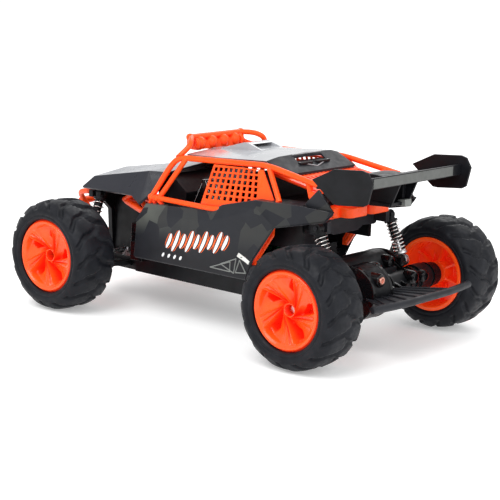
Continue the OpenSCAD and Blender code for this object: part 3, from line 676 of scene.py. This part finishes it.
def make_rim(shape, tyre_node, side):
    """Adds one wheel: swirl face, barrel, and the ribbed dish behind."""
    rim = RIM_R
    wheel = Shape()
    per_spoke = 48
    columns = SPOKES * per_spoke
    radii = [4.1 + (rim - 4.2) * j / 50 for j in range(51)]
    rows = []
    for depth in (4.0, 8.0):
        rows.append([(4.1, depth)] * columns)
    for r in radii:
        rows.append([(r, rim_face(r, (i % per_spoke) / per_spoke, rim)) for i in range(columns)])
    back = [(rim, 15.6), (rim - 0.7, 14.6), (rim - 0.7, -15), (rim, -16), (rim, -18), (rim - 1.6, -18.1),
            (rim - 2.9, -17.6), (rim - 3.1, -15), (rim - 3.4, -4), (rim - 4.6, 2.2), (rim - 9, 2.8),
            (9.2, 2.8), (8.2, 1.5), (7.8, -7.5), (7.3, -8), (3.2, -8), (2.6, -7.4), (2.6, 4.0)]
    rows += [[(r, z)] * columns for r, z in back]
    points = []
    for row in rows:
        line = []
        for i, (r, z) in enumerate(row):
            swirl = math.acos(min(1, 4.7 / max(4.7, r)))
            angle = 2 * math.pi * i / columns + swirl
            line.append(Vector((r * math.cos(angle), r * math.sin(angle), z)))
        points.append(line)
    wheel.rows(points, loop=True)
    for k in range(6):
        turn = Matrix.Rotation(math.pi * k / 3, 4, "Z") @ Matrix.Rotation(math.pi / 2, 4, "X")
        outline = [(7.4, 3.2), (rim - 4.0, 3.2), (rim - 3.4, -2.5), (rim - 8, -0.5), (12, -3.2), (7.4, -6.6)]
        prism(wheel, outline, turn @ Matrix.Translation((0, 0, -0.7)), 1.4)
    wheel.moved(wheel_place(tyre_node, side))
    shape.add(wheel.points, wheel.faces)


for name, side in (("left", 1), ("right", -1)):
    make_tyre(f"front_tyre_{name}", f"front_wheel_{name}", side)
    make_tyre(f"rear_tyre_{name}", "rear_wheels", side)
    front_rim = Shape()
    make_rim(front_rim, f"front_tyre_{name}", side)
    piece(front_rim, f"front_rim_{name}_swirl", rim_orange, f"front_wheel_{name}",
          [f"front_rim_{name}"], angle=55)
rear_rims = Shape()
make_rim(rear_rims, "rear_tyre_left", 1)
make_rim(rear_rims, "rear_tyre_right", -1)
piece(rear_rims, "rear_rims_swirl", rim_orange, "rear_wheels", ["rear_rims"], angle=55)


# ---- cage --------------------------------------------------------------------


def cage_shape():
    """The left side of the roll cage."""
    front_foot = (55.5, -50, 92)
    roof_front = (48.5, -31, 122.5)
    roof_rear = (43, 48, 125.5)
    shape = Shape()
    tube(shape, [front_foot, (50.5, -37.5, 115), roof_front, roof_rear, (46, 96, 117.5)], 2.1, 9)
    tube(shape, [(55.2, -43, 91.9), (48.6, -24, 121.8)], 1.9)
    tube(shape, [front_foot, (57.5, 10, 91.8), (56, 22, 93)], 1.9)
    tube(shape, [roof_rear, (53.5, 67, 104)], 1.9)
    tube(shape, [front_foot, (52.5, -55, 82)], 1.7)
    tube(shape, [front_foot, (52, -46, 82)], 1.5)
    tube(shape, [(55.6, -46, 92), (52, -35, 82)], 1.5)
    tube(shape, [(44, 84, 119), (45, 88, 109)], 2.3)
    tube(shape, [(53.5, 66, 104), (54, 62, 84), (54, 47, 60)], 1.9)
    lathe(shape, [[0.01, 0], [2.7, 0], [3.2, 0.5], [3.2, 5.5], [2.7, 6], [0.01, 6]], along_x((42, 90, 110.5)))
    for joint in (front_foot, (55.4, -45, 92)):
        lathe(shape, [[0.01, 0], [1.8, 0.2], [2.5, 0.9], [2.5, 4.1], [1.8, 4.8], [0.01, 5]],
              along_x((joint[0] - 2.5, *joint[1:])), 24)
    prism(shape, [(44, 62), (44, 57), (48, 57), (63.5, 80), (64, 88), (60, 88)], along_x((53, 0, 0)), 2)
    return shape


piece(cage_shape(), "cage_left_tubes", orange, "chassis", ["cage_left"], angle=50)
right_cage = cage_shape()
right_cage.points = [Vector((-p.x, p.y, p.z)) for p in right_cage.points]
piece(right_cage, "cage_right_tubes", orange, "chassis", ["cage_right"], angle=50)


def front_frame_shape():
    """Tubes under the hood and the bumper hoop, with the skid block."""
    low, _ = box("front_frame")
    hoop_y = low.y + 3
    shape = Shape()
    tube(shape, [(33, -138, 82.5), (30, -152, 80), (22, hoop_y, 72), (14, -139, 48)], 2.1, 6)
    tube(shape, [(33, -138, 82.5), (33, -130, 89.8), (35, -100, 90), (46, -62, 87), (49, -56, 86)], 2, 5)
    tube(shape, [(35, -100, 90), (20, -92, 78), (16, -86, 62)], 2, 5)
    shape.mirror()
    tube(shape, [(-25, hoop_y, 72), (25, hoop_y, 72)], 2.9)
    tube(shape, [(-34, -130, 89.8), (34, -130, 89.8)], 2)
    block = wall_along_y((0, -142, 0))
    prism(shape, [(-16, 33.4), (16, 33.4), (16, 50), (-16, 50)], block, 5.8)
    prism(shape, [(-13, low.z), (13, low.z), (13, 33.5), (-13, 33.5)], block, 5.8)
    return shape


piece(front_frame_shape(), "front_frame_tubes", orange, "chassis", ["front_frame"],
      angle=50)


def light_bar_shape():
    """Four lamp pods in one housing under a rail, with two stays on each side."""
    shape = Shape()
    rail_y = -38.5
    rail_z = 134.7
    lamps = [-19.5 + 13 * i for i in range(4)]
    tube(shape, [(27, -38.5, 134.9), (36, -30.5, 134.6), (42, -26, 131), (48, -30, 124)], 2, 6)
    tube(shape, [(29, -38.5, 134.9), (29.5, -38, 128), (47.5, -32.5, 122.4)], 1.9, 5)
    tube(shape, [(24.5, -36, 133), (25, -33.6, 131), (24.5, -34.4, 127.5)], 1.6, 3)
    lathe(shape, [[0.01, -1.5], [2.1, -1.2], [2.8, 0.4], [2.9, 1.6], [2.6, 3.0], [1.5, 3.9], [0.01, 4]],
          along_x((27, rail_y, rail_z)), 24)
    shape.mirror()
    tube(shape, [(-28, rail_y, rail_z), (28, rail_y, rail_z)], 2.3)
    for x in lamps:
        pod = [[0.01, -33.2], [2.4, -33.4], [4.2, -34.6], [5.2, -36.6], [5.6, -38.5], [5.6, -43.4],
               [5.3, -44], [4.7, -44], [4.6, -43.4], [4.6, -41], [0.01, -41]]
        lathe(shape, pod, along_y((x, 0, 130)), 36)
    # The wall behind the pods has a notch under the rail between each two of them
    wall = [(-26, 125.6), (26, 125.6), (26, 134)]
    for x in (13, 0, -13):
        wall += [(x + 3.6, 134), (x, 131.2), (x - 3.6, 134)]
    wall.append((-26, 134))
    prism(shape, wall, wall_along_y((0, -38.6, 0)), 3.4)
    return shape


piece(light_bar_shape(), "light_bar_pods", orange, "chassis", ["light_bar"], angle=45)


# ---- springs -----------------------------------------------------------------


def spring_ends(node, tilt_joint, stroke_joint, side):
    """The two ends of a spring along its shock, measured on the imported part."""
    joints = {j["name"]: j for j in frame["joints"]}
    top = Vector(joints[tilt_joint]["pos_m"]) / MM - LOWER
    axis = Vector(joints[stroke_joint]["axis"]).normalized()
    if not node.startswith("front"):
        _, high = box(node)
        top.x = side * (high.x - 4.8)
    far = [(v.co / MM - LOWER - top).dot(axis) for v in frame["nodes"][node].data.vertices]
    return top + axis * min(far), top + axis * max(far)


def coil(start, end, radius=4.35, wire=0.42, turns=8.5):
    """A helical spring of even pitch from start to end."""
    axis = (end - start).normalized()
    across = axis.orthogonal().normalized()
    up = axis.cross(across)
    steps = int(turns * 20)
    line = []
    for i in range(steps + 1):
        t = i / steps
        angle = 2 * math.pi * turns * t
        out = across * math.cos(angle) + up * math.sin(angle)
        line.append(start + axis * ((end - start).length * t) + out * radius)
    shape = Shape()
    sweep(shape, line, wire, 8)
    return shape


def add_spring(name, node, tilt, stroke, side):
    """A coil laid between the two halves of its shock."""
    start, end = spring_ends(node, tilt, stroke, side)
    shape = coil(start, end)
    obj = piece(shape, name, chrome, None, [node], angle=60)
    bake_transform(obj)


for name, side in (("left", 1), ("right", -1)):
    add_spring(f"front_coil_{name}", f"front_spring_{name}", f"front_damper_tilt_{name}",
               f"front_damper_stroke_{name}", side)
    add_spring(f"rear_coil_{name}", "rear_springs", "rear_damper_tilt", "rear_damper_stroke", side)


# ---- rear end ------------------------------------------------------------------


def rear_bumper_shape():
    """Bumper tube on a ribbed fan plate."""
    height = 44.5
    shape = Shape()
    bar = [(-58, 151.5, height), (-31, 155.3, height), (31, 155.3, height), (58, 151.5, height)]
    tube(shape, bar, 2.65, 14, 20)
    prism(shape, [(-17, 120), (27, 120), (44, 153), (-44, 153)], upright((0, 0, 42.3)), 1.3)
    for i in range(-3, 4):
        line = [Vector((5 + i * 5.5, 121.5, 44.2)), Vector((i * 13.5, 152.6, 43.8))]
        sweep(shape, line, 0.75, 8)
    return shape


piece(rear_bumper_shape(), "rear_bumper_fan", grey, "rear_axle", ["rear_bumper"], angle=50)


def rear_boxes_shape():
    """The two rounded orange boxes over the rear shock tower."""
    shape = Shape()
    for side in (1, -1):
        outline = []
        for corner, first in (((20, 100), 0), ((6, 100), 90)):
            for k in range(7):
                a = math.radians(first + 15 * k)
                outline.append((side * (corner[0] + 5 * math.cos(a)), corner[1] + 5.5 * math.sin(a)))
        outline += [(side * 1, 88.4), (side * 25, 88.4)]
        prism(shape, outline, upright((0, 0, 94.2)), 7.2)
        inner = [(x * 0.86 + side * 1.8, 96.6 + (y - 96.6) * 0.8) for x, y in outline]
        prism(shape, inner, upright((0, 0, 101.2)), 2.6)
        prism(shape, [(side * 24.5, 88.4), (side * 31, 88.4), (side * 31, 96), (side * 29, 97.5),
                      (side * 24.5, 97.5)], upright((0, 0, 94.2)), 6.6)
    prism(shape, [(-30, 88.2), (30, 88.2), (30, 92), (-30, 92)], upright((0, 0, 92.2)), 2.2)
    return shape


piece(rear_boxes_shape(), "rear_cover_boxes", orange, "chassis", ["rear_cover"],
      bevel=0.8, angle=40)


def gearbox_details():
    """Caps, bosses and ribs on the axle housing."""
    shape = Shape()
    cap = [[0.01, 0], [4.2, 0], [4.8, 0.6], [4.8, 7], [4.0, 8.6], [2.6, 9], [2.3, 7.6], [0.01, 7.4]]
    for x, y, z in ((3, 108, 58), (-20, 103, 59), (-46, 115, 47), (-30, 117, 49)):
        lathe(shape, cap, along_y((x, y, z)), 32)
    lathe(shape, [[0.01, 0], [5, 0], [5, 12.5], [4.4, 13.3], [0.01, 13.4]], along_y((20.5, 118, 55)), 32)
    lathe(shape, [[16, 0], [19.3, 0], [19.3, 2.4], [18.6, 3], [16, 3]], along_x((7, AXLE_Y, AXLE_Z)), 64)
    disc = [[14, 0], [19.3, 0.4], [19.3, 2.4], [18.6, 3], [0.01, 3.2]]
    lathe(shape, disc, along_x((27, AXLE_Y, AXLE_Z)), 64)
    for x in (-62, -50, -40, -33, -10, 33, 40, 50, 62):
        lathe(shape, [[8.4, 0], [9.5, 0.3], [9.5, 1.7], [8.4, 2]], along_x((x, AXLE_Y, AXLE_Z)), 48)
    for x in (-20, -12, -4):
        prism(shape, [(113, 50), (126, 46), (122, 40), (113, 42)], along_x((x, 0, 0)), 1.6)
    for x in (32.5, -35.5):
        line = curve_through([(x, 60, 44), (x, 78, 58), (x, 96, 62), (x, 110, 54)], 8)
        sweep(shape, line, 2.2, 10)
    return shape


piece(gearbox_details(), "axle_housing_bosses", glossy_black, "rear_axle", angle=45)
gearbox_screw = Shape()
button(gearbox_screw, along_y((20.5, 131.2, 55)), 2.9, 1.2, 0.8)
piece(gearbox_screw, "gearbox_screw", copper, "rear_axle", angle=40)


# ---- trim and prints -------------------------------------------------------------


def strip_on_wing():
    """The grey strip along the rear edge of the wing blade."""
    _, high = box("wing_blade")
    shape = Shape()
    prism(shape, [(-47.5, 121.6), (47.5, 121.6), (47.5, 128.0), (-47.5, 128.0)],
          wall_along_y((0, high.y - 0.02, 0)), 0.35)
    return shape


piece(strip_on_wing(), "wing_strip", strip_grey, "chassis", bevel=0.1)


# The side print is a row of leaning blades, long and short by turns, over a few small bars
BLADE_COUNT = 9
BLADE_STEP = 6.6
PRINT_START = -27
PRINT_RISE = 0.12
LONG_BLADE = 8
SHORT_BLADE = 5.5
LEAN = 0.45
BAR_COUNT = 4


def blades():
    """Centre lines of the leaning blades, as [y, z] points from tip to tip."""
    lines = []
    for i in range(BLADE_COUNT):
        y = PRINT_START + i * BLADE_STEP
        middle = 67 + y * PRINT_RISE
        half = LONG_BLADE if i % 2 else SHORT_BLADE
        lines.append([(y - half * LEAN, middle - half), (y + 0.5, middle), (y + half * LEAN, middle + half)])
    return lines


def bars():
    """Centre lines of the small slanted bars under the front of the print."""
    starts = [-34 + i * 5.6 for i in range(BAR_COUNT)]
    return [[(y, 51), (y + 2.4, 54)] for y in starts]


def panel_x(y, z):
    """How far out the surface of the side panel lies at a point."""
    below = max(0, 55 + (y + 40) * 7 / 74 - z) * 0.137
    ridge = (y - 34) * 0.61 + (z - 62) * 0.793
    rear = (y - 8) * 0.82 - (z - 82) * 0.574
    return 61 - below - max(0, min(ridge * 0.0948, rear * 0.022))


def brush(points, width):
    """The two edges of a stroke along a smooth line, widest in the middle and narrow at both ends."""
    line = curve_through([Vector((y, z, 0)) for y, z in points], 6)
    left = []
    right = []
    for i, p in enumerate(line):
        along = (line[min(i + 1, len(line) - 1)] - line[max(i - 1, 0)]).normalized()
        share = math.sin(math.pi * i / (len(line) - 1)) ** 0.5
        out = Vector((-along.y, along.x, 0)) * width * (0.25 + 0.75 * share)
        left.append(p + out)
        right.append(p - out)
    return left, right


def print_layer(shape, strokes, width, height, side):
    """Lays thin strips along the strokes, with their tops height above the panel."""
    for number, stroke in enumerate(strokes):
        level = height + number * 0.003
        rows = []
        for a, b in zip(*brush(stroke, width)):
            corners = ((a, level), (b, level), (b, 0), (a, 0))
            rows.append([(side * (panel_x(p.x, p.y) + up), p.x, p.y) for p, up in corners])
        shape.rows(rows)


for side, name in ((1, "left"), (-1, "right")):
    for layer, ink, strokes, width, height in (
        ("orange", ink_orange, blades(), 2.9, 0.05),
        ("black", ink_black, blades(), 2.2, 0.12),
        ("white", ink_white, blades(), 1.3, 0.19),
        ("bars", ink_white, bars(), 0.9, 0.05),
    ):
        shape = Shape()
        print_layer(shape, strokes, width, height, side)
        piece(shape, f"side_print_{layer}_{name}", ink, "chassis", angle=60)


def truss_lines(shape, side):
    """Raised outlines of the triangular truss in the lower rear corner of a side panel."""
    for corners in ([(22, 54.6), (36.5, 60.6), (33.5, 49.6)], [(35.2, 50.4), (39.5, 60), (44.5, 51.4)],
                    [(12, 50.6), (31, 57.6), (30, 50.2)]):
        for a, b in zip(corners, corners[1:] + corners[:1]):
            ends = [Vector((side * (panel_x(y, z) + 0.1), y, z)) for y, z in (a, b)]
            sweep(shape, ends, 0.42, 8)


trusses = Shape()
truss_lines(trusses, 1)
truss_lines(trusses, -1)
piece(trusses, "side_truss_lines", olive, "chassis", angle=50)


def sticker(side):
    """A blank label that follows the panel, given by its upper and lower edge at three places."""
    shape = Shape()
    rows = []
    for top, bottom in (((38.5, 65.2), (37, 62.4)), ((44, 62.8), (42.6, 60.2)), ((48, 60.4), (46.8, 58))):
        corners = ((top, 0.02), (top, 0.14), (bottom, 0.14), (bottom, 0.02))
        rows.append([(side * (panel_x(y, z) + up), y, z) for (y, z), up in corners])
    shape.rows(rows)
    return shape


piece(sticker(1), "side_label_left", nylon, "chassis", bevel=0.03)
piece(sticker(-1), "side_label_right", nylon, "chassis", bevel=0.03)


def cockpit_console_and_highlights():
    """Moulded console behind the window, with thin white lines that are painted highlights on its ribs and
    edges.
    """
    box_shape = Shape()
    lines = Shape()
    for side in (1, -1):
        prism(box_shape, [(-34, 86), (-24, 106), (-4, 110), (6, 86)], along_x((side * 27 - 3, 0, 0)), 6)
        # Painted highlights: thin white strips in the printed white ink along the console's ribs and edges
        x = side * 30.15
        for shift in (0, 2.2, 7, 9.2):
            sweep(lines, [Vector((x, -21 + shift, 105)), Vector((x, -12 + shift, 87))], 0.16, 6)
        for a, b in (((-23.5, 105.4), (-6, 108.6)), ((-6, 108.6), (3, 90)), ((-31, 88), (-24, 103))):
            sweep(lines, [Vector((x, *a)), Vector((x, *b))], 0.14, 6)
    piece(box_shape, "cockpit_console", glossy_black, "chassis", bevel=0.8)
    piece(lines, "cockpit_highlight_lines", ink_white, "chassis", angle=60)


cockpit_console_and_highlights()


def frame_rails():
    """Lower rails of the front frame that show behind the front wheels."""
    shape = Shape()
    tube(shape, [(14, -103, 76), (34, -99, 81), (47, -66, 77.5), (51.5, -57, 83)], 2.3, 8)
    tube(shape, [(34, -99, 81), (40, -84, 88)], 1.8)
    shape.mirror()
    return shape


piece(frame_rails(), "front_frame_rails", orange, "chassis", angle=50)


def tower_steps():
    """Stepped boxes and ribs on the front of the tub, behind the front wheels."""
    shape = Shape()
    for side in (1, -1):
        for x, y, z, wide, deep, tall in (
            (27, -90, 36, 16, 8, 22),
            (30, -88, 58, 14, 7, 7),
            (41, -72, 56, 12, 16, 12),
            (43, -78, 40, 10, 12, 14),
        ):
            near = side * x - wide / 2
            outline = [(near, y), (near + wide, y), (near + wide, y + deep), (near, y + deep)]
            prism(shape, outline, upright((0, 0, z)), tall)
        for z in (42, 47, 52):
            sweep(shape, [Vector((side * 20, -90.4, z)), Vector((side * 34, -90.4, z))], 0.8, 8)
    return shape


piece(tower_steps(), "tub_front_steps", glossy_black, "chassis", bevel=0.6)


def tail_fins():
    """Two fins under the wing and the small wedge between them."""
    fin = Shape()
    outline = [(104, 107), (109, 119.6), (131, 123.4), (136, 121), (129, 104.2), (112, 103)]
    for x in (9.2, -10.8):
        prism(fin, outline, along_x((x, 0, 0)), 1.6)
    piece(fin, "wing_fins", black, "chassis", bevel=0.4)
    wedge = Shape()
    prism(wedge, [(123, 103.4), (131.5, 103), (131, 108.2), (125, 107.4)], along_x((-11, 0, 0)), 8)
    piece(wedge, "tail_wedge", olive, "chassis", bevel=0.4)


tail_fins()


def fairing_vent():
    """Dark floor of the vent in the roof fairing, and the pale lines round it."""
    floor = Shape()
    outline = [(-17, 47.4), (17, 47.4), (17, 56), (3, 56), (0, 53), (-3, 56), (-17, 56)]
    prism(floor, outline, upright((0, 0, 124.6)), 1.6)
    piece(floor, "roof_recess_floor", black, "chassis", bevel=0.3)
    lines = Shape()
    tip = (0, 57.5, 122.9)
    for ends in (
        ((-16.4, 47.6, 130.9), (16.4, 47.6, 130.9)),
        ((-16.4, 54.2, 126.1), tip),
        ((16.4, 54.2, 126.1), tip),
    ):
        sweep(lines, [Vector(p) for p in ends], 0.35, 8)
    piece(lines, "roof_recess_edges", pale_line, "chassis", angle=50)


fairing_vent()


# ---- studio ------------------------------------------------------------------


FLOOR_REACH = 9
CAMERA_AT = Vector((0.8443, 0.6958, 0.2766))
CAMERA_LENS = 108.7


def studio():
    """A pale floor under a white sky, with three soft lamps."""
    scene = bpy.context.scene
    scene.view_settings.view_transform = "Standard"
    floor_mesh = bpy.data.meshes.new("floor")
    corners = [(x * FLOOR_REACH, y * FLOOR_REACH, 0) for x, y in ((-1, -1), (1, -1), (1, 1), (-1, 1))]
    floor_mesh.from_pydata(corners, [], [(0, 1, 2, 3)])
    floor = bpy.data.objects.new("floor", floor_mesh)
    floor_look = Look("pale_floor", (0.84, 0.84, 0.84), 0.7)
    floor_look.patches((0.86, 0.86, 0.86), 400, 1.0)
    floor_look.shader.inputs["Emission Color"].default_value = (1, 1, 1, 1)
    floor_look.shader.inputs["Emission Strength"].default_value = 0.3
    floor_mesh.materials.append(floor_look.material)
    scene.collection.objects.link(floor)
    world = bpy.data.worlds.new("studio")
    world.use_nodes = True
    world.node_tree.nodes["Background"].inputs["Color"].default_value = (1, 1, 1, 1)
    world.node_tree.nodes["Background"].inputs["Strength"].default_value = 0.9
    scene.world = world
    for name, place, size, power in (
        ("key", (1.2, 0.2, 1.6), 1.2, 22),
        ("fill", (0.2, 1.6, 0.9), 1.4, 9),
        ("far", (-1.4, -0.6, 1.3), 1.2, 8),
    ):
        light = bpy.data.lights.new(name, "AREA")
        light.energy = power
        light.size = size
        lamp = bpy.data.objects.new(name, light)
        lamp.location = place
        lamp.rotation_euler = (Vector((0, 0, 0.06)) - Vector(place)).to_track_quat("-Z", "Y").to_euler()
        scene.collection.objects.link(lamp)


def camera():
    """The camera behind the left rear wheel, a little above the roof."""
    data = bpy.data.cameras.new("camera")
    data.lens = CAMERA_LENS
    data.sensor_width = 36
    obj = bpy.data.objects.new("camera", data)
    right = Vector((-0.6419, 0.7660, 0.0350))
    up = Vector((-0.1316, -0.1551, 0.9792))
    back = right.cross(up)
    turn = Matrix((right, up, back)).transposed()
    obj.matrix_world = Matrix.Translation(CAMERA_AT + LOWER * MM) @ turn.to_4x4()
    bpy.context.scene.collection.objects.link(obj)
    bpy.context.scene.camera = obj


studio()
camera()
